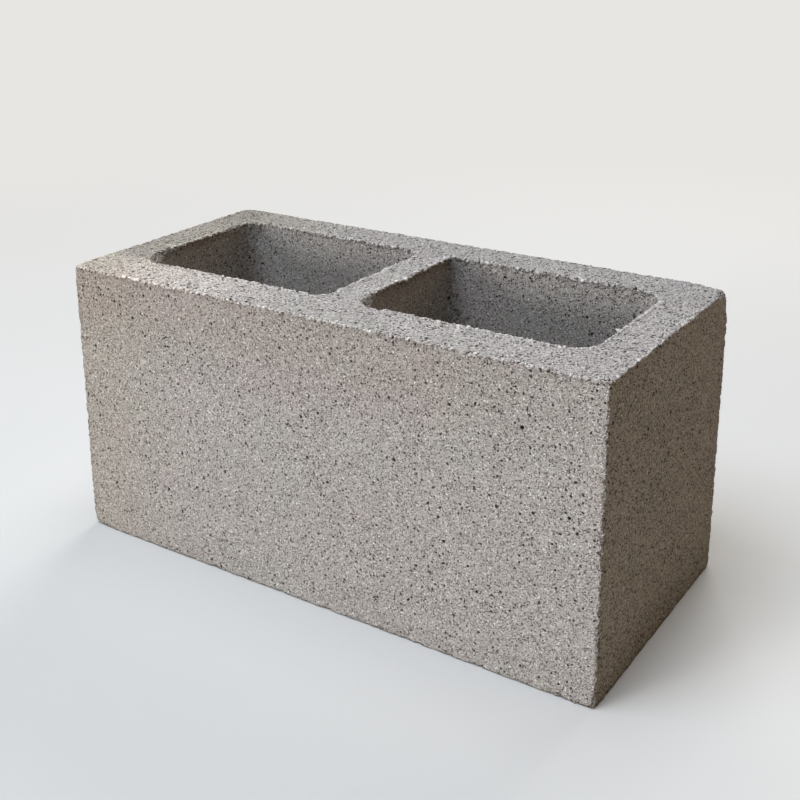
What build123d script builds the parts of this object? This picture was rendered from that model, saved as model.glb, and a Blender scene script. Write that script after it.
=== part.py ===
from build123d import *
import os

os.makedirs("parts", exist_ok=True)

# A hollow concrete block with two cores, standing on its lower bed face.
# Millimetres, +Z up, +X along the length. The origin is the middle of the lower bed face.

# Outside of the block.
length = 400.0
width = 190.0
height = 200.0

# Walls on the upper bed face, where they are thickest.
face_shell = 34.0
end_shell = 28.5
cross_web = 23.0
core_count = 2

# The mould's plungers taper, so each core opens out on every side towards the lower bed face.
core_corner = 16.0
core_taper = 2.5

# The plungers stood a little behind the middle, so the front face shell is the thicker one.
core_setback = 3.0

# Rounding that casting, stacking and handling leave on the edges.
corner_arris = 2.0
upper_arris = 1.5
lower_arris = 1.5
upper_rim = 2.0
lower_rim = 1.5

# Plan of the cores on the upper bed face.
core_length = (length - 2 * end_shell - (core_count - 1) * cross_web) / core_count
core_width = width - 2 * face_shell
core_pitch = core_length + cross_web
first_core = -(core_count - 1) * core_pitch / 2

with BuildPart() as block:
    # the body, cast between four upright mould walls
    with BuildSketch(Plane.XY):
        RectangleRounded(length, width, corner_arris)
    extrude(amount=height)

    # the cores, each a tapered hole through both bed faces
    for number in range(core_count):
        centre = first_core + number * core_pitch
        with BuildSketch(Plane((centre, core_setback, 0))) as lower_mouth:
            RectangleRounded(
                core_length + 2 * core_taper,
                core_width + 2 * core_taper,
                core_corner + core_taper,
            )
        with BuildSketch(Plane((centre, core_setback, height))) as upper_mouth:
            RectangleRounded(core_length, core_width, core_corner)
        loft([lower_mouth.sketch, upper_mouth.sketch], ruled=True, mode=Mode.SUBTRACT)

    # worn edges of the two bed faces: the outline first, then the mouths of the cores
    upper_face = block.faces().sort_by(Axis.Z)[-1]
    fillet(upper_face.outer_wire().edges(), upper_arris)
    upper_face = block.faces().sort_by(Axis.Z)[-1]
    fillet([edge for mouth in upper_face.inner_wires() for edge in mouth.edges()], upper_rim)
    lower_face = block.faces().sort_by(Axis.Z)[0]
    fillet(lower_face.outer_wire().edges(), lower_arris)
    lower_face = block.faces().sort_by(Axis.Z)[0]
    fillet([edge for mouth in lower_face.inner_wires() for edge in mouth.edges()], lower_rim)

block.part.label = "concrete_block"
export_step(block.part, "parts/concrete_block.step")
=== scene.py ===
import bpy
import bmesh
import math
import random
import numpy as np
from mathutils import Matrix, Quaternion, Vector, noise


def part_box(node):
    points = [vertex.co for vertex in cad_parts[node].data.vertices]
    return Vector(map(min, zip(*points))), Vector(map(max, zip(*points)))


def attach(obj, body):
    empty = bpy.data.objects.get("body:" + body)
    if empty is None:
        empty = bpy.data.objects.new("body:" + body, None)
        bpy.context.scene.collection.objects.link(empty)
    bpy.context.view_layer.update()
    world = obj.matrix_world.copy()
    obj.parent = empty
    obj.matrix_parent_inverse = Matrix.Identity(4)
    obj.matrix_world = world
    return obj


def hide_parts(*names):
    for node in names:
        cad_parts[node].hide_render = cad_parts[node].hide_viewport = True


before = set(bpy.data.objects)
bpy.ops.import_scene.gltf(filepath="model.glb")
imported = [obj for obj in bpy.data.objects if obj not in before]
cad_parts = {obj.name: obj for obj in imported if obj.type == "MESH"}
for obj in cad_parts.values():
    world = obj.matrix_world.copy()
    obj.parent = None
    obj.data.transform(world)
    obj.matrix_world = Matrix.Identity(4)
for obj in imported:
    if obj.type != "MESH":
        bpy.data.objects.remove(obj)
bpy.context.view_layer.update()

# Sizes of the block, in metres. The cores stand a little behind the middle and widen downwards.
LOW, HIGH = (Vector(corner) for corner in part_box("concrete_block"))
END_SHELL = 0.0285
FACE_SHELL = 0.034
CROSS_WEB = 0.023
CORE_SETBACK = 0.003
CORE_TAPER = 0.0025
CORNER_ARRIS = 0.002
UPPER_ARRIS = 0.0015
LOWER_ARRIS = 0.0015
UPPER_RIM = 0.0014
LOWER_RIM = 0.0015

HALF_HEIGHT = HIGH.z / 2
CORE_ENDS = (CROSS_WEB / 2, HIGH.x - END_SHELL)
CORE_MIDDLE = sum(CORE_ENDS) / 2
CORE_SIDES = (LOW.y + FACE_SHELL + CORE_SETBACK, HIGH.y - FACE_SHELL + CORE_SETBACK)
CORE_HALF_LENGTH = (CORE_ENDS[1] - CORE_ENDS[0]) / 2
CORE_HALF_WIDTH = (CORE_SIDES[1] - CORE_SIDES[0]) / 2

# Rounding of the cores' upright corners, as the plungers left them: (core, across, along), each
# -1 for left or front and 1 for right or back. Past WIDE_CORNER a corner gets more segments.
CORE_CORNERS = {
    (-1, -1, -1): 0.028, (-1, 1, -1): 0.009, (-1, -1, 1): 0.011, (-1, 1, 1): 0.016,
    (1, -1, -1): 0.028, (1, 1, -1): 0.016, (1, -1, 1): 0.005, (1, 1, 1): 0.023,
}
WIDE_CORNER = 0.012
WIDE_SEGMENTS, TIGHT_SEGMENTS, CORNER_SEGMENTS, EDGE_SEGMENTS = 8, 5, 4, 3

# The mesh: its step, the shortest edge that is kept, the strip along the edges that is divided once
# more, the strip above the floor that is left out of that, and what counts as touching.
COARSE_STEP = 0.0055
SHORTEST_EDGE = 0.0003
WORN_STRIP = 0.0035
GROUND_STRIP = 0.004
TOUCHING = 1e-4
SLICE_SLACK = 1e-6
LEVEL_COSINE = 0.9
FLAT_COSINE = 0.99999

# Corners of the block that lost more than the rest: which one, how far the wear runs, and its rounding.
WORN_CORNERS = [
    ((1, 1, 1), 0.026, 0.0070),
    ((-1, -1, 1), 0.012, 0.0030),
    ((-1, 1, 1), 0.014, 0.0035),
    ((1, -1, -1), 0.014, 0.0035),
    ((-1, -1, -1), 0.016, 0.0045),
    ((1, 1, -1), 0.010, 0.0024),
]

# Corners of the mouths where the upper bed breaks away in a slope: the place, how far the slope runs
# and its width. MOUTH_SLOPE is how far it falls for each width, and MOUTH_END is where it runs out.
WORN_MOUTHS = [
    ((-0.165, -0.052), 0.024, 0.0050),
    ((0.018, -0.052), 0.020, 0.0060),
]
MOUTH_SLOPE = 2.5
MOUTH_END = 0.98

# How easily sand comes off the upright edges, the outline of the beds, the part of it that is
# exposed, and the mouths of the cores, and how far this reaches into the faces.
LOOSE_UPRIGHT, LOOSE_OUTLINE, LOOSE_EXPOSED, LOOSE_MOUTH = 0.4, 0.35, 0.7, 1.0
LOOSE_REACH = 0.0025

# Waves of the surface: how many to the metre, where the pattern starts, and their height.
LONG_WAVE = (14, (0, 0, 0), 0.0003)
SHORT_WAVE = (55, (3, 1, 7), 0.00015)
SAND_WAVE = (300, (0, 0, 0), 0.00022)
CRUMBLE_WAVE = (230, (5, 8, 1), 0.0024)
CRUMBLE_RIPPLE = (420, (9, 2, 5), 0.0018)

# Steps from grain to grain: how many grains to the metre, and the height of a step in the open sand
# and at loose edges. The last two move the loose patterns inwards or outwards as a whole.
GRAINS = 3000
SAND_STEP = 0.00012
CRUMBLE_STEP = 0.0018
CRUMBLE_LOSS, CRUMBLE_GAIN = 0.18, -0.3

# How far the mean surface of the sand lies under the mould's face, the least that it does, and how
# far the points shift along it: near the edges, and further in the calm of the faces.
SAND_DEPTH = 0.0005
LEAST_DEPTH = 0.0001
SHIFT_CELLS = 4000
EDGE_SHIFT, FACE_SHIFT = 0.0004, 0.0008
CALM_REACH = 0.003

# The largest pits of the front face: place along it, height, and width.
FRONT_PITS = [
    (0.1507, 0.1637, 0.0027), (0.1011, 0.1664, 0.0023), (0.1790, 0.1145, 0.0024),
    (0.0998, 0.0772, 0.0024), (0.0893, 0.0978, 0.0022), (0.1117, 0.1030, 0.0018),
    (0.1498, 0.1090, 0.0018), (0.0817, 0.0539, 0.0023), (0.1341, 0.0418, 0.0025),
    (0.1244, 0.0242, 0.0022), (0.1628, 0.0558, 0.0020), (0.0225, 0.0638, 0.0018),
    (-0.1206, 0.0496, 0.0024), (-0.0384, 0.0920, 0.0020), (-0.0854, 0.0245, 0.0020),
    (-0.0670, 0.0504, 0.0022), (-0.1237, 0.1743, 0.0024), (-0.1164, 0.1637, 0.0020),
    (-0.1351, 0.1593, 0.0018), (-0.1633, 0.1807, 0.0023), (-0.1805, 0.1921, 0.0020),
    (0.0104, 0.1388, 0.0020), (0.0622, 0.1612, 0.0020), (-0.0102, 0.1015, 0.0018),
]

# The pits that come by chance: how many wide and small ones, how many more on the upper bed, and the
# widths of the wide ones. A pit needs a face of the least width, clear of the edges.
WIDE_PITS, SMALL_PITS, BED_PITS = 256, 2020, 150
WIDE_WIDTHS = (0.0013, 0.0016, 0.0019)
PIT_ROOM = 0.0019
PIT_CLEARANCE = 0.004

# The shape of a pit: how much wider than its mouth's first outline it gets, its slope and its depth
# as shares of the width, how far it is turned, and how uneven its outline is.
PIT_OUTLINE, PIT_SLOPE, PIT_DEPTH = 0.9, 0.16, 0.8
PIT_TURN = 0.7
PIT_UNEVEN = 0.16
INSET_STEP = 0.0001

# The shape of a sand grain: the spread and range of its size, the ranges of its length, breadth and
# height and of how far its corners stand out, and the spread of its tilt.
SIZE_SPREAD, SIZE_RANGE = 0.35, (0.5, 2.2)
GRAIN_RANGES = ((0.95, 1.5), (0.7, 1.05), (0.5, 0.85))
CORNER_RANGE = (0.72, 1.22)
TILT_SPREAD = 0.35

# Which way a triangle has to face to belong to a bed or to a side.
BED_FACING = 0.6
SIDE_FACING = 0.7

# Both sources of chance start from a fixed number, so that each run casts the same block.
chances = random.Random(41)
dice = np.random.default_rng(23)


def sign(value):
    return -1 if value < 0 else 1


def corner_of(place):
    """The core that a point is nearest to, and which of its corners."""
    core = sign(place.x)
    return core, sign(place.x - core * CORE_MIDDLE), sign(place.y - CORE_SETBACK)


def core_depth(place):
    """How far a point lies outside the nearer core, at its height, and the way out of the core."""
    core, across, along = corner_of(place)
    taper = CORE_TAPER * (1 - place.z / HIGH.z)
    corner = CORE_CORNERS[core, across, along]
    x = abs(place.x - core * CORE_MIDDLE) - (CORE_HALF_LENGTH + taper - corner)
    y = abs(place.y - CORE_SETBACK) - (CORE_HALF_WIDTH + taper - corner)
    if min(x, y) > 0:
        out = Vector((across * x, along * y, 0)).normalized()
    else:
        out = Vector((across, 0, 0)) if x > y else Vector((0, along, 0))
    return math.hypot(max(x, 0), max(y, 0)) + min(max(x, y), 0) - corner, out


def is_outside(place):
    """Whether a point lies nearer to the outside of the block than to its cores."""
    return core_depth(place)[0] > END_SHELL / 2


def in_sight(place, ground):
    """Whether a point lies above a strip on the ground, and not deep in a core."""
    return place.z > LOW.z + ground and (place.z > HALF_HEIGHT or is_outside(place))


def edge_distances(place):
    """How far a point on the surface lies from the upright edges, the beds' outline and the rims."""
    bed = min(place.z - LOW.z, HIGH.z - place.z)
    across = (HIGH.x - abs(place.x), HIGH.y - abs(place.y))
    return math.hypot(*across), math.hypot(bed, min(across)), math.hypot(bed, core_depth(place)[0])


def edge_distance(place):
    return min(edge_distances(place))


def reach(face, axis):
    along = [corner.co[axis] for corner in face.verts]
    return min(along), max(along)


def is_flat(edge):
    return edge.link_faces[0].normal.dot(edge.link_faces[1].normal) > FLAT_COSINE


def is_upright(edge):
    return abs(edge.verts[0].co.z - edge.verts[1].co.z) > HALF_HEIGHT


def on_outline(edge):
    middle = (edge.verts[0].co + edge.verts[1].co) / 2
    return min(HIGH.x - abs(middle.x), HIGH.y - abs(middle.y)) < 1.5 * CORNER_ARRIS


def over_core(face, middle):
    """Whether a face of a bed lies where a core with its middle at the given place opens."""
    place = face.calc_center_median()
    return (
        abs(face.normal.z) > LEVEL_COSINE
        and abs(place.x - middle) < CORE_HALF_LENGTH
        and CORE_SIDES[0] < place.y < CORE_SIDES[1]
    )


def round_off(mesh, edges, size, segments):
    bmesh.ops.bevel(
        mesh,
        geom=edges,
        offset=size,
        offset_type="OFFSET",
        segments=segments,
        profile=0.5,
        affect="EDGES",
        material=-1,
        clamp_overlap=True,
    )


def slice_across(mesh, axis, places, faces):
    """Cuts faces along planes across one axis, so that they can follow the sand."""
    normal = Vector([float(axis == i) for i in range(3)])
    waiting = sorted(faces, key=lambda face: reach(face, axis)[0], reverse=True)
    started = []
    for place in sorted(places):
        while waiting and reach(waiting[-1], axis)[0] < place - SLICE_SLACK:
            started.append(waiting.pop())
        crossing = [face for face in started if reach(face, axis)[1] > place + SLICE_SLACK]
        started = []
        if crossing:
            parts = dict.fromkeys(crossing)
            parts.update(dict.fromkeys(edge for face in crossing for edge in face.edges))
            parts.update(dict.fromkeys(corner for face in crossing for corner in face.verts))
            cut = bmesh.ops.bisect_plane(
                mesh, geom=list(parts), dist=SLICE_SLACK, plane_co=normal * place, plane_no=normal
            )
            fresh = [part for part in cut["geom"] if isinstance(part, bmesh.types.BMFace)]
            started = [face for face in fresh if reach(face, axis)[1] > place + SLICE_SLACK]


def open_cores(mesh):
    """Cuts the two mouths out of both bed faces and joins each pair by four tapered walls."""
    for side in (-1, 1):
        middle = side * CORE_MIDDLE
        mouths = [face for face in mesh.faces if over_core(face, middle)]
        rims = [
            edge
            for edge in dict.fromkeys(edge for face in mouths for edge in face.edges)
            if sum(face in mouths for face in edge.link_faces) == 1
        ]
        bmesh.ops.delete(mesh, geom=mouths, context="FACES")
        bmesh.ops.bridge_loops(mesh, edges=rims)
        for corner in dict.fromkeys(corner for edge in rims for corner in edge.verts):
            if corner.co.z < HALF_HEIGHT:
                corner.co.y += math.copysign(CORE_TAPER, corner.co.y - CORE_SETBACK)
                if abs(corner.co.x - middle) > CORE_TAPER:
                    corner.co.x += math.copysign(CORE_TAPER, corner.co.x - middle)
    bmesh.ops.recalc_face_normals(mesh, faces=mesh.faces)
    mesh.normal_update()
    spare = [
        edge
        for edge in mesh.edges
        if is_flat(edge) and any(abs(abs(corner.co.x) - CORE_MIDDLE) > TOUCHING for corner in edge.verts)
    ]
    bmesh.ops.dissolve_edges(mesh, edges=spare, use_verts=True)


def cast_body():
    """The block as the mould leaves it, with every edge rounded."""
    mesh = bmesh.new()
    bmesh.ops.create_cube(mesh, size=1.0)
    bmesh.ops.scale(mesh, vec=HIGH - LOW, verts=mesh.verts)
    bmesh.ops.translate(mesh, vec=(HIGH + LOW) / 2, verts=mesh.verts)
    ends = [side * place for side in (-1, 1) for place in (*CORE_ENDS, CORE_MIDDLE)]
    slice_across(mesh, 0, ends, mesh.faces)
    slice_across(mesh, 1, CORE_SIDES, mesh.faces)
    open_cores(mesh)

    upright = [edge for edge in mesh.edges if is_upright(edge) and not is_flat(edge)]
    outer = [edge for edge in upright if abs(edge.verts[0].co.x) > HIGH.x - TOUCHING]
    inner = [edge for edge in upright if edge not in outer]
    for edge in inner:
        radius = CORE_CORNERS[corner_of(edge.verts[0].co)]
        round_off(mesh, [edge], radius, WIDE_SEGMENTS if radius > WIDE_CORNER else TIGHT_SEGMENTS)
    round_off(mesh, outer, CORNER_ARRIS, CORNER_SEGMENTS)

    for height, arris, rim in ((HIGH.z, UPPER_ARRIS, UPPER_RIM), (LOW.z, LOWER_ARRIS, LOWER_RIM)):
        mesh.normal_update()
        around = [
            edge
            for edge in mesh.edges
            if all(abs(corner.co.z - height) < TOUCHING for corner in edge.verts) and not is_flat(edge)
        ]
        round_off(mesh, [edge for edge in around if not on_outline(edge)], rim, EDGE_SEGMENTS)
        outline = [edge for edge in around if edge.is_valid and on_outline(edge)]
        round_off(mesh, outline, arris, EDGE_SEGMENTS)
    return mesh


def mesh_steps(axis):
    count = int(round((HIGH[axis] - LOW[axis]) / COARSE_STEP))
    return [LOW[axis] + (HIGH[axis] - LOW[axis]) * i / count for i in range(count + 1)]


def divide(mesh):
    """Cuts the body into small faces, into halves where it is in sight, and again along its edges."""
    for axis in (2, 0, 1):
        slice_across(mesh, axis, mesh_steps(axis)[1:-1], mesh.faces)
    for axis in (2, 0, 1):
        places = mesh_steps(axis)
        halves = [(before + after) / 2 for before, after in zip(places, places[1:])]
        seen = [face for face in mesh.faces if in_sight(face.calc_center_median(), TOUCHING)]
        slice_across(mesh, axis, halves, seen)
    bmesh.ops.dissolve_degenerate(mesh, edges=mesh.edges, dist=SHORTEST_EDGE)
    close = {
        corner: edge_distance(corner.co) < WORN_STRIP and in_sight(corner.co, GROUND_STRIP)
        for corner in mesh.verts
    }
    worn = [
        edge
        for edge in mesh.edges
        if close[edge.verts[0]] and close[edge.verts[1]] and edge.calc_length() > COARSE_STEP / 3
    ]
    bmesh.ops.subdivide_edges(mesh, edges=worn, cuts=1, use_grid_fill=True)


def round_over(distances, radius):
    """Draws a point near an edge or corner back to a rounding, by its distances from the faces."""
    short = [max(radius - distance, 0) for distance in distances]
    length = math.hypot(*short)
    if length <= radius:
        return distances
    return [radius - lack * radius / length if lack else far for lack, far in zip(short, distances)]


def wear_down(place):
    """Where a point of the moulded shape has moved to at the worn corners and mouths."""
    place = place.copy()
    for side, spread, radius in WORN_CORNERS:
        corner = Vector([HIGH[i] if side[i] > 0 else LOW[i] for i in range(3)])
        away = (place - corner).length / spread
        if away < 1:
            distances = [abs(corner[i] - place[i]) for i in range(3)]
            distances = round_over(distances, radius * (1 - away * away))
            place = Vector([corner[i] - side[i] * distances[i] for i in range(3)])
    for middle, spread, widest in WORN_MOUTHS:
        away = (place - Vector((*middle, HIGH.z))).length / spread
        if away < MOUTH_END:
            depth, out = core_depth(place)
            width = widest * (1 - away * away)
            lack = 1 - depth / width - (HIGH.z - place.z) / (width * MOUTH_SLOPE)
            if lack > 0:
                place = place + (out - Vector((0, 0, MOUTH_SLOPE))) * lack * width / 2
    return place


def looseness(place):
    """How easily sand comes off: most at the mouths of the cores, least along the upright edges."""
    exposed = place.z > HALF_HEIGHT and (place.y < LOW.y / 2 or place.x > HIGH.x - END_SHELL)
    weights = (LOOSE_UPRIGHT, LOOSE_EXPOSED if exposed else LOOSE_OUTLINE, LOOSE_MOUTH)
    distances = edge_distances(place)
    return max(weight * math.exp(-away / LOOSE_REACH) for weight, away in zip(weights, distances))


def wave(place, pattern, lift=0.0):
    often, start, height = pattern
    return (noise.noise(place * often + Vector(start)) + lift) * height


def grain_step(place, height, lift=0.0):
    return (noise.cell(place * GRAINS) + lift) * height


def weather(mesh):
    """Moves the surface from the mould's smooth face to open sand, waves and worn edges."""
    for corner in mesh.verts:
        corner.co = wear_down(corner.co)
    mesh.normal_update()
    crumbly = mesh.verts.layers.float.new("loose")
    moved = []
    for corner in mesh.verts:
        place, normal = corner.co, corner.normal
        loose = looseness(place)
        corner[crumbly] = loose
        shift = noise.cell_vector(place * SHIFT_CELLS) - Vector((0.5, 0.5, 0.5))
        shift -= normal * shift.dot(normal)
        slow = wave(place, LONG_WAVE) + wave(place, SHORT_WAVE)
        sand = wave(place, SAND_WAVE) + grain_step(place, SAND_STEP)
        crumble = wave(place, CRUMBLE_WAVE, CRUMBLE_LOSS) * loose
        crumble += wave(place, CRUMBLE_RIPPLE) * loose
        crumble += grain_step(place, CRUMBLE_STEP, CRUMBLE_GAIN) * loose
        depth = max(SAND_DEPTH + slow + sand + crumble, LEAST_DEPTH)
        calm = min(edge_distance(place) / CALM_REACH, 1)
        moved.append(place - normal * depth + shift * (EDGE_SHIFT + FACE_SHIFT * calm))
    for corner, place in zip(mesh.verts, moved):
        corner.co = [min(max(place[i], LOW[i]), HIGH[i]) for i in range(3)]


def narrow(face):
    return min(edge.calc_length() for edge in face.edges)


def has_room(face):
    """Whether a face can hold a pit."""
    return (
        len(face.verts) == 4
        and narrow(face) > PIT_ROOM
        and edge_distance(face.calc_center_median()) > PIT_CLEARANCE
    )


def pick_apart(faces, order):
    """Picks faces, in the given order, that share no corner with a face picked before."""
    taken, picked = set(), []
    for index in dict.fromkeys(order):
        if not any(corner in taken for corner in faces[index].verts):
            taken.update(faces[index].verts)
            picked.append(faces[index])
    return picked


def mark_out(mesh, faces, width):
    """Draws a smaller face of about the given width in the middle of each of the faces."""
    classes = {}
    for face in faces:
        steps = max(round((narrow(face) - width) / (2 * INSET_STEP)), 1)
        classes.setdefault(steps, []).append(face)
    for steps, group in sorted(classes.items()):
        bmesh.ops.inset_individual(
            mesh, faces=group, thickness=steps * INSET_STEP, use_even_offset=True
        )


def loosen(face, size, uneven):
    """Turns and roughens the outline of a small face."""
    middle = face.calc_center_median()
    turn = Quaternion(face.normal, chances.uniform(-PIT_TURN, PIT_TURN))
    for corner in face.verts:
        away = turn @ (corner.co - middle)
        corner.co = middle + away.normalized() * size * chances.uniform(1 - uneven, 1 + uneven)


def sink(mesh, hollow, faces, slope, depth):
    bmesh.ops.inset_individual(mesh, faces=faces, thickness=slope, depth=-depth, use_even_offset=True)
    for face in faces:
        for corner in face.verts:
            corner[hollow] = 1.0
        for edge in face.edges:
            edge.smooth = False


def sink_wide(mesh, hollow, faces, width):
    """Wider pits, with eight sides and a sloping wall."""
    mark_out(mesh, faces, width * PIT_OUTLINE)
    rims = dict.fromkeys(edge for face in faces for edge in face.edges)
    bmesh.ops.subdivide_edges(mesh, edges=list(rims), cuts=1)
    mesh.normal_update()
    for face in faces:
        loosen(face, width / 2, PIT_UNEVEN)
    sink(mesh, hollow, faces, width * PIT_SLOPE, width * PIT_DEPTH)


def sink_small(mesh, hollow, faces, width, radii, uneven, slope, depth):
    """Small pits, with four sides, whose radius lies between the two of radii."""
    mark_out(mesh, faces, width)
    mesh.normal_update()
    for face in faces:
        loosen(face, chances.uniform(*radii), uneven)
    sink(mesh, hollow, faces, slope, depth)


def pit(mesh):
    """Opens the large pits of the front face, and wide and small ones all over."""
    # The layer hollow marks the pits' floors, where the finish paints shadow.
    hollow = mesh.verts.layers.float.new("hollow")
    mesh.normal_update()
    plain = [face for face in mesh.faces if has_room(face)]
    middles = np.array([face.calc_center_median() for face in plain])
    known = [
        int(((middles - (along, LOW.y, height)) ** 2).sum(axis=1).argmin())
        for along, height, _ in FRONT_PITS
    ]
    free = pick_apart(plain, known + chances.sample(range(len(plain)), len(plain)))
    wide_start = len(FRONT_PITS)
    small_start = wide_start + WIDE_PITS
    bed_start = small_start + SMALL_PITS
    large, wide = free[:wide_start], free[wide_start:small_start]
    small, rest = free[small_start:bed_start], free[bed_start:]
    upper = [face for face in rest if face.calc_center_median().z > HIGH.z - 2 * SAND_DEPTH]

    for width in sorted({width for _, _, width in FRONT_PITS}):
        alike = [face for face, front_pit in zip(large, FRONT_PITS) if front_pit[2] == width]
        sink_wide(mesh, hollow, alike, width)
    for start, width in enumerate(WIDE_WIDTHS):
        sink_wide(mesh, hollow, wide[start::len(WIDE_WIDTHS)], width)
    sink_small(mesh, hollow, small, 0.0008, (0.0003, 0.0006), 0.25, 0.0001, 0.0009)
    sink_small(mesh, hollow, upper[:BED_PITS], 0.0015, (0.0006, 0.0011), 0.3, 0.00015, 0.0014)


def add_object(name, data):
    made = bpy.data.objects.new(name, data)
    bpy.context.scene.collection.objects.link(made)
    return made


def finish_mesh(mesh, name):
    data = bpy.data.meshes.new(name)
    mesh.to_mesh(data)
    mesh.free()
    data.shade_smooth()
    return add_object(name, data)


def cast_block():
    mesh = cast_body()
    divide(mesh)
    weather(mesh)
    pit(mesh)
    bmesh.ops.poke(mesh, faces=[face for face in mesh.faces if len(face.verts) > 4])
    bmesh.ops.triangulate(mesh, faces=mesh.faces)
    return finish_mesh(mesh, "concrete_block_cast")


def in_order(points, triangles):
    """Starts each triangle at its leftmost corner and sorts them by their middles, because the order
    in which a mesh keeps them can change from run to run."""
    first = points[triangles, 0].argmin(axis=1)
    turned = np.take_along_axis(triangles, (first[:, None] + np.arange(3)) % 3, axis=1)
    return turned[np.lexsort(points[turned].mean(axis=1).T)]


class Skin:
    """The triangles of a finished surface, as places where a grain can sit."""

    def __init__(self, data):
        count = len(data.vertices)
        points = np.empty(3 * count)
        data.vertices.foreach_get("co", points)
        points = points.reshape(-1, 3)
        triangles = np.empty(3 * len(data.polygons), dtype=np.int32)
        data.loops.foreach_get("vertex_index", triangles)
        triangles = in_order(points, triangles.reshape(-1, 3))
        hollow, loose = np.empty(count), np.empty(count)
        data.attributes["hollow"].data.foreach_get("value", hollow)
        data.attributes["loose"].data.foreach_get("value", loose)
        self.hollow = hollow[triangles].max(axis=1)
        self.loose = loose[triangles].mean(axis=1).clip(0, 1)
        self.corners = points[triangles]
        first, second, third = (self.corners[:, i] for i in range(3))
        across = np.cross(second - first, third - first)
        length = np.linalg.norm(across, axis=1)
        self.area = length / 2
        self.normal = across / np.maximum(length, 1e-12)[:, None]
        self.middle = self.corners.mean(axis=1)


def grain_shape():
    """The corners and triangles of one grain, a squat shape with five sides."""
    mesh = bmesh.new()
    bmesh.ops.create_uvsphere(mesh, u_segments=5, v_segments=2, radius=1.0)
    bmesh.ops.triangulate(mesh, faces=mesh.faces)
    mesh.verts.index_update()
    corners = np.array([corner.co for corner in mesh.verts])
    faces = np.array([[corner.index for corner in face.verts] for face in mesh.faces])
    mesh.free()
    return corners, faces


def unit(vectors):
    return vectors / np.linalg.norm(vectors, axis=1)[:, None]


def strew(name, skin, share, count, radius, proud, dark, material):
    """Sets grains on the skin, joined as one mesh. share weighs each triangle of the skin, proud is how
    far the grains stand out, and a lower dark gives fewer dark ones."""
    corners, faces = grain_shape()
    weight = skin.area * share * (skin.hollow == 0)
    seats = dice.choice(len(weight), size=count, p=weight / weight.sum())
    mix = dice.dirichlet((1, 1, 1), size=count)
    place = np.einsum("ij,ijk->ik", mix, skin.corners[seats])
    normal = skin.normal[seats]
    along = unit(np.cross(normal, dice.normal(size=(count, 3))))
    across = np.cross(normal, along)

    size = radius * np.exp(dice.normal(0, SIZE_SPREAD, size=count)).clip(*SIZE_RANGE)
    spread = np.stack([size * dice.uniform(*limits, count) for limits in GRAIN_RANGES], axis=1)
    shape = corners[None] * dice.uniform(*CORNER_RANGE, size=(count, len(corners), 1)) * spread[:, None]
    tilt = dice.normal(0, TILT_SPREAD, size=(count, 2))
    shape[:, :, 2] += shape[:, :, 0] * tilt[:, :1] + shape[:, :, 1] * tilt[:, 1:]

    lift = spread[:, 2] * (proud - 1)
    points = (place + normal * lift[:, None])[:, None] + np.einsum(
        "ijk,ikl->ijl", shape, np.stack((along, across, normal), axis=1)
    )
    points = points.clip(np.array(LOW), np.array(HIGH))
    triangles = (faces[None] + np.arange(count)[:, None, None] * len(corners)).reshape(-1, 3)
    data = bpy.data.meshes.new(name)
    data.from_pydata(points.reshape(-1, 3), [], triangles)
    tone = data.attributes.new("tone", "FLOAT", "POINT")
    tone.data.foreach_set("value", np.repeat(dice.uniform(size=count) ** dark, len(corners)))
    data.shade_smooth()
    data.materials.append(material)
    return add_object(name, data)


def strew_sand(block, material):
    """The sand that stands out of the paste, face by face, and the crumbs of the worn edges."""
    skin = Skin(block.data)
    x, y, z = (skin.normal[:, i] for i in range(3))
    height = skin.middle[:, 2]
    outside = np.array([is_outside(Vector(point)) for point in skin.middle])
    up = z > BED_FACING
    upright = ~up & ~(z < -BED_FACING)
    side = outside & upright
    worn = skin.loose * (0.2 + height / HIGH.z)
    # name, where, how many, radius, how proud, how dark
    stock = [
        ("front_sand", side & (y < -SIDE_FACING), 18000, 0.00038, 0.55, 1.0),
        ("back_sand", side & (y > SIDE_FACING), 10500, 0.00045, 0.55, 1.0),
        ("end_sand", side & (np.abs(x) > SIDE_FACING), 15500, 0.00042, 0.55, 1.0),
        ("bed_sand", up & (height > 0.15), 17000, 0.00043, 0.6, 1.0),
        ("core_sand", ~outside & upright & (height > 0.05), 7500, 0.00055, 0.5, 1.0),
        # The edge sand and the rim crumbs get fewer dark grains, partly a painted highlight for the
        # light that their raised tops catch.
        ("edge_sand", worn, 8000, 0.00058, 0.8, 0.9),
        ("rim_crumbs", (skin.loose > 0.45) & (height > 0.18), 2000, 0.00105, 1.25, 0.7),
    ]
    return [strew(name, skin, *rest, material) for name, *rest in stock]


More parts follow.
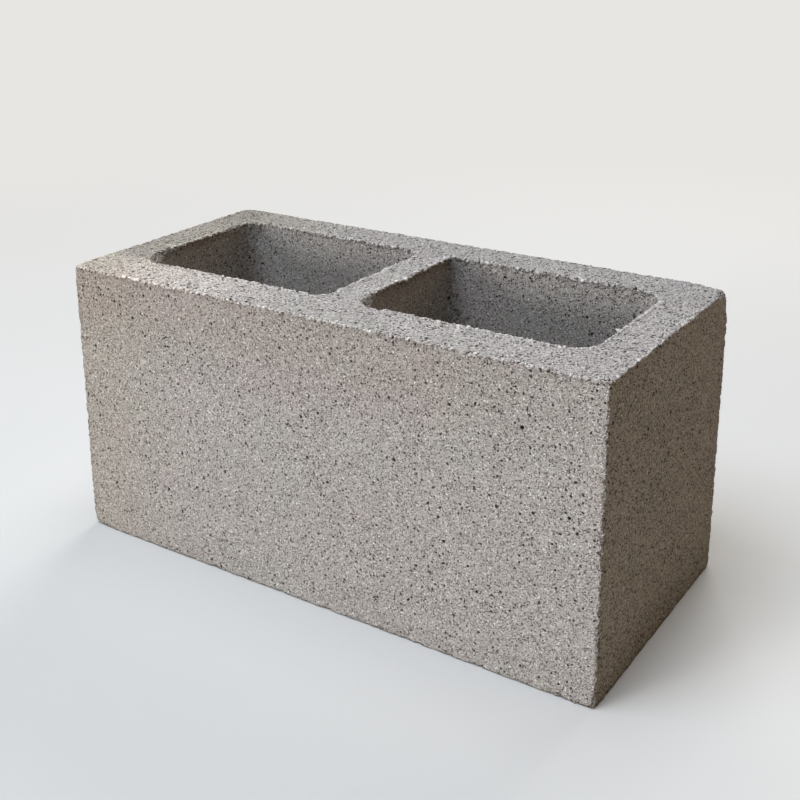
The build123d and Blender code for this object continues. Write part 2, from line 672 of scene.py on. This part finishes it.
class Wire:
    """A value on its way through a material's nodes."""

    def __init__(self, tree, socket):
        self.tree = tree
        self.socket = socket

    def node(self, kind, settings, sockets, output=0):
        """Adds a node. A ramp's stops are one of its settings, as pairs of a place and a colour."""
        made = self.tree.nodes.new(kind)
        for name, value in settings.items():
            if name == "stops":
                ramp = made.color_ramp
                while len(ramp.elements) < len(value):
                    ramp.elements.new(0.5)
                for element, (place, shade) in zip(ramp.elements, value):
                    element.position = place
                    element.color = shade
            else:
                setattr(made, name, value)
        for key, value in sockets.items():
            if isinstance(value, Wire):
                self.tree.links.new(value.socket, made.inputs[key])
            else:
                made.inputs[key].default_value = value
        return Wire(self.tree, made.outputs[output])

    def maths(self, operation, *values):
        return self.node("ShaderNodeMath", {"operation": operation}, dict(enumerate(values)))

    def __add__(self, other):
        return self.maths("ADD", self, other)

    def __radd__(self, other):
        return self.maths("ADD", other, self)

    def __sub__(self, other):
        return self.maths("SUBTRACT", self, other)

    def __rsub__(self, other):
        return self.maths("SUBTRACT", other, self)

    def __mul__(self, other):
        return self.maths("MULTIPLY", self, other)

    def __rmul__(self, other):
        return self.maths("MULTIPLY", other, self)

    def __abs__(self):
        return self.maths("ABSOLUTE", self)

    def rises(self, low, high):
        """0 below low, 1 above high, and smooth between; it falls where low is above high."""
        start, stop = (0.0, 1.0) if low < high else (1.0, 0.0)
        return self.node(
            "ShaderNodeMapRange",
            {"interpolation_type": "SMOOTHSTEP"},
            {"Value": self, "From Min": min(low, high), "From Max": max(low, high),
             "To Min": start, "To Max": stop},
        )

    def ramp(self, *stops):
        return self.node("ShaderNodeValToRGB", {"stops": stops}, {0: self})

    def between(self, first, second):
        """Mixes two colours by this value."""
        return self.node("ShaderNodeMix", {"data_type": "RGBA"}, {0: self, 6: first, 7: second}, 2)

    def tinted(self, other):
        """Multiplies two colours."""
        settings = {"data_type": "RGBA", "blend_type": "MULTIPLY"}
        return self.node("ShaderNodeMix", settings, {0: 1.0, 6: self, 7: other}, 2)


def colour(red, green, blue):
    return (red, green, blue, 1.0)


def grey(value):
    return colour(value, value, value)


PALE_BACKGROUND = colour(0.80, 0.79, 0.77)
DIM_WORLD = grey(0.005)
FLOOR_SEEN = colour(0.66, 0.65, 0.63)
FLOOR_GLOW = colour(0.40, 0.35, 0.29)
PAINTED_PORE_SHADOW = colour(0.030, 0.024, 0.020)
PAINTED_PIT_SHADOW = colour(0.022, 0.018, 0.015)
PALE_DOT = colour(0.84, 0.83, 0.81)
PALE_GRAIN = colour(0.78, 0.77, 0.75)
COOL_PASTE = colour(0.452, 0.427, 0.395)
WARM_PASTE = colour(0.458, 0.421, 0.397)
RUST_PASTE = colour(0.460, 0.424, 0.391)


class Stone:
    """The start of a mineral finish: its shader, and the patterns that it is mixed from."""

    def __init__(self, name):
        self.material = bpy.data.materials.new(name)
        self.material.use_nodes = True
        self.tree = self.material.node_tree
        self.shader = self.tree.nodes["Principled BSDF"]
        self.shader.inputs["Specular IOR Level"].default_value = 0.3
        self.place = Wire(self.tree, self.tree.nodes.new("ShaderNodeTexCoord").outputs["Object"])

    def attribute(self, name):
        return self.place.node("ShaderNodeAttribute", {"attribute_name": name}, {}, "Fac")

    def cloud(self, scale, detail=2.0, rough=0.5):
        sockets = {"Vector": self.place, "Scale": scale, "Detail": detail, "Roughness": rough}
        return self.place.node("ShaderNodeTexNoise", {}, sockets)

    def cells(self, scale, output="Distance", shift=0.0):
        """A pattern of cells, a little longer across the block than along it."""
        moved = self.place.node(
            "ShaderNodeVectorMath",
            {"operation": "MULTIPLY_ADD"},
            {0: self.place, 1: (1.0, 0.75, 1.0), 2: (shift, shift, shift)},
        )
        return self.place.node("ShaderNodeTexVoronoi", {}, {"Vector": moved, "Scale": scale}, output)

    def chance(self, scale, shift=0.0, channel="Red"):
        """A random number for each cell of a pattern."""
        shades = self.cells(scale, "Color", shift)
        return shades.node("ShaderNodeSeparateColor", {}, {0: shades}, channel)

    def axes(self):
        """Where a point lies along, across and up the block."""
        return [self.place.node("ShaderNodeSeparateXYZ", {}, {0: self.place}, axis) for axis in "XYZ"]

    def dots(self, scale, shift, share, smallest, largest):
        """Round dots, one in each of a share of a pattern's cells, with their radii in cells."""
        there = (self.chance(scale, shift) + share).rises(1.0, 1.001)
        radius = self.chance(scale, shift, "Green") * (largest - smallest) + smallest
        return (self.cells(scale, shift=shift) - radius).rises(0.06, -0.04) * there

    def feed(self, **sockets):
        for name, value in sockets.items():
            self.tree.links.new(value.socket, self.shader.inputs[name.replace("_", " ")])

    def bump(self, height, strength, distance):
        sockets = {"Strength": strength, "Distance": distance, "Height": height}
        return self.place.node("ShaderNodeBump", {}, sockets)


def tints(stone):
    """The paste's slow changes of tint and its stains, with painted sheen and shade among them, and
    where the upper bed is. Places are in metres.
    """
    base = stone.cloud(26.0).rises(0.40, 0.64).between(COOL_PASTE, WARM_PASTE)
    base = (stone.cloud(9.0).rises(0.42, 0.66) * 0.6).between(base, RUST_PASTE)
    x, y, z = stone.axes()
    bed = z.rises(0.1970, 0.1985)
    side = 1 - bed
    front = side * y.rises(-0.0895, -0.0925)
    # The cores' walls, which get painted shade.
    core_wall_painted_shade = side * y.rises(-0.080, -0.075) * y.rises(0.083, 0.078) * abs(x).rises(0.188, 0.184)
    # Where a painted sheen lies on the upper bed: its front strip, most of it at the left.
    pale = y.rises(-0.045, -0.070) * (0.10 + x.rises(-0.01, -0.13) * 0.90)
    under_bed = z.rises(0.12, 0.19) * (0.25 + x.rises(0.20, 0.08) * 0.75)
    stains_and_painted_light = [
        # The upper bed lighter overall, and darker towards its right end, its back and its left end.
        (bed, colour(1.24, 1.23, 1.24)),
        # Painted sheen on the upper bed's front left.
        (bed * pale, colour(1.42, 1.40, 1.38)),
        (bed * x.rises(0.13, 0.18), colour(0.96, 0.96, 0.97)),
        (bed * y.rises(0.03, 0.065), colour(0.88, 0.89, 0.895)),
        (bed * x.rises(-0.06, -0.17), colour(0.97, 0.94, 0.88)),
        (bed * x.rises(-0.160, -0.178), colour(0.89, 0.89, 0.87)),
        (front * under_bed, colour(0.91, 0.875, 0.85)),
        (front * x.rises(-0.08, -0.20), colour(0.96, 0.935, 0.88)),
        # Painted shade along the foot of the sides, deepest at the right end.
        (side * z.rises(0.035, 0.0), grey(0.97)),
        (side * x.rises(0.197, 0.199) * z.rises(0.04, 0.0), grey(0.88)),
        # Painted shade on the cores' walls.
        (core_wall_painted_shade, colour(0.92, 0.91, 0.90)),
    ]
    for where, tint_factor in stains_and_painted_light:
        base = where.between(base, base.tinted(tint_factor))
    return base, bed


def cast_finish():
    """The paste with its sand, its open pores, most of them in the upper bed, and a few pale grains,
    with painted shadow in the pores and the pits.
    """
    stone = Stone("sandy_concrete")
    base, bed = tints(stone)
    grain = stone.chance(1450.0)
    base = base.tinted(grain.ramp(
        (0.0, colour(0.17, 0.14, 0.13)), (0.12, colour(0.60, 0.57, 0.56)), (0.36, grey(0.97)),
        (0.74, grey(1.10)), (0.93, colour(1.35, 1.39, 1.41)), (1.0, colour(1.85, 1.98, 2.04)),
    ))
    loose = stone.attribute("loose")
    # cells to the metre, shift, share of them with a pore, and its least and most radius
    pores = [
        (660.0, 0.3, 0.42 + bed * 0.14, 0.17, 0.36),
        (400.0, 0.8, 0.14 + bed * 0.54 + loose * 0.40, 0.16, 0.33),
        (260.0, 1.7, 0.03 + bed * 0.27 + loose * 0.20, 0.16, 0.30),
    ]
    pore = stone.dots(*pores[0])
    for wider in pores[1:]:
        more = stone.dots(*wider)
        pore = pore + more - pore * more
    # The pores' dark colour is painted shadow; their dip in the bump is real relief.
    base = (pore * 0.97).between(base, PAINTED_PORE_SHADOW)
    pale = stone.dots(540.0, 0.5, 0.035, 0.20, 0.40)
    base = (pale * 0.95).between(base, PALE_DOT)
    hollow = stone.attribute("hollow")
    # Painted shadow in the pits, strongest on their floors, which hollow marks.
    base = (hollow.rises(0.1, 0.8) * 0.97).between(base, PAINTED_PIT_SHADOW)
    height = stone.cells(1250.0).rises(0.7, 0.1) * 0.4 + stone.cloud(2200.0, 3.0, 0.6) * 0.5
    height = (height - pore * 1.2 + pale * 0.4) * (1 + bed * 1.5 + loose)
    stone.feed(Base_Color=base, Normal=stone.bump(height, 0.9, 0.0009), Roughness=0.86 + grain * 0.12)
    return stone.material


def grain_finish():
    """The loose grains, each with a tone of its own on the tint of the paste under it, painted sheen and
    shade included.
    """
    stone = Stone("sand_grains")
    tone = stone.attribute("tone")
    shade = tone.ramp(
        (0.0, colour(0.29, 0.25, 0.24)), (0.10, colour(0.64, 0.61, 0.60)), (0.35, grey(0.95)),
        (0.75, grey(1.10)), (0.94, colour(1.29, 1.33, 1.35)), (1.0, colour(1.54, 1.62, 1.66)),
    )
    speck = stone.cloud(2600.0, 2.0, 0.6)
    base = tints(stone)[0].tinted(shade).tinted(speck.rises(0.25, 0.75).between(grey(0.80), grey(1.15)))
    base = (tone.rises(0.94, 1.0) * 0.75).between(base, PALE_GRAIN)
    stone.feed(Base_Color=base, Normal=stone.bump(speck, 0.35, 0.0004), Roughness=0.70 + tone * 0.2)
    return stone.material


# Soft lamps of the studio: name, place, size, power and tint. All of them aim at the block's middle.
LAMPS = [
    ("low_window", (-1.40, -3.3, 0.53), 1.1, 80.0, (1.0, 0.985, 0.99)),
    ("skylight", (0.0, 0.0, 2.9), 2.0, 30.0, (0.95, 0.98, 1.0)),
    ("high_window", (-0.5, -1.2, 2.6), 2.0, 62.0, (0.815, 0.895, 1.0)),
    ("far_wall", (-0.4, 2.6, 1.5), 2.4, 62.0, (1.0, 0.975, 0.94)),
    ("warm_wall", (2.6, 0.8, 0.9), 2.0, 7.6, (1.0, 0.64, 0.28)),
]
LAMP_AIM = Vector((0, 0, 0.1))


def lamp(name, place, size, power, tint):
    data = bpy.data.lights.new(name, "AREA")
    data.shape = "DISK"
    data.size = size
    data.energy = power
    data.color = tint
    light = add_object(name, data)
    light.location = place
    light.rotation_euler = (LAMP_AIM - Vector(place)).to_track_quat("-Z", "Y").to_euler()


def seen_directly(tree):
    return Wire(tree, tree.nodes.new("ShaderNodeLightPath").outputs["Is Camera Ray"])


def floor():
    """A pale floor that keeps the block's shadow and turns into an even background further off."""
    mesh = bmesh.new()
    bmesh.ops.create_grid(mesh, x_segments=1, y_segments=1, size=12.0)
    made = finish_mesh(mesh, "studio_floor")
    material = bpy.data.materials.new("pale_floor")
    material.use_nodes = True
    tree = material.node_tree
    shader = tree.nodes["Principled BSDF"]
    shader.inputs["Roughness"].default_value = 0.9
    shader.inputs["Specular IOR Level"].default_value = 0.2
    seen = seen_directly(tree)
    tree.links.new(seen.between(FLOOR_GLOW, FLOOR_SEEN).socket, shader.inputs["Base Color"])
    place = Wire(tree, tree.nodes.new("ShaderNodeTexCoord").outputs["Object"])
    away = place.node("ShaderNodeVectorMath", {"operation": "LENGTH"}, {0: place}, "Value")
    even = place.node("ShaderNodeEmission", {}, {"Color": PALE_BACKGROUND, "Strength": 1.0})
    lit = Wire(tree, shader.outputs[0])
    mixed = lit.node("ShaderNodeMixShader", {}, {0: seen * away.rises(0.35, 1.5), 1: lit, 2: even})
    tree.links.new(mixed.socket, tree.nodes["Material Output"].inputs["Surface"])
    made.data.materials.append(material)


def surroundings():
    world = bpy.data.worlds.new("studio")
    bpy.context.scene.world = world
    world.use_nodes = True
    tree = world.node_tree
    background = tree.nodes["Background"]
    backdrop = seen_directly(tree).between(DIM_WORLD, PALE_BACKGROUND)
    tree.links.new(backdrop.socket, background.inputs["Color"])
    background.inputs["Strength"].default_value = 1.0


def camera():
    data = bpy.data.cameras.new("camera")
    data.sensor_width = 36.0
    data.lens = 55.17
    data.shift_x = 0.0501
    data.shift_y = -0.1712
    data.clip_start = 0.01
    made = add_object("camera", data)
    made.location = (0.42926, -0.65515, 0.44397)
    made.rotation_euler = (1.27951, 0.012205, 0.600564)
    bpy.context.scene.camera = made


camera()
surroundings()
floor()
for settings in LAMPS:
    lamp(*settings)

block = cast_block()
block.data.materials.append(cast_finish())
for piece in [block, *strew_sand(block, grain_finish())]:
    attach(piece, "root")
    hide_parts("concrete_block")
bpy.context.scene.view_settings.view_transform = "Standard"
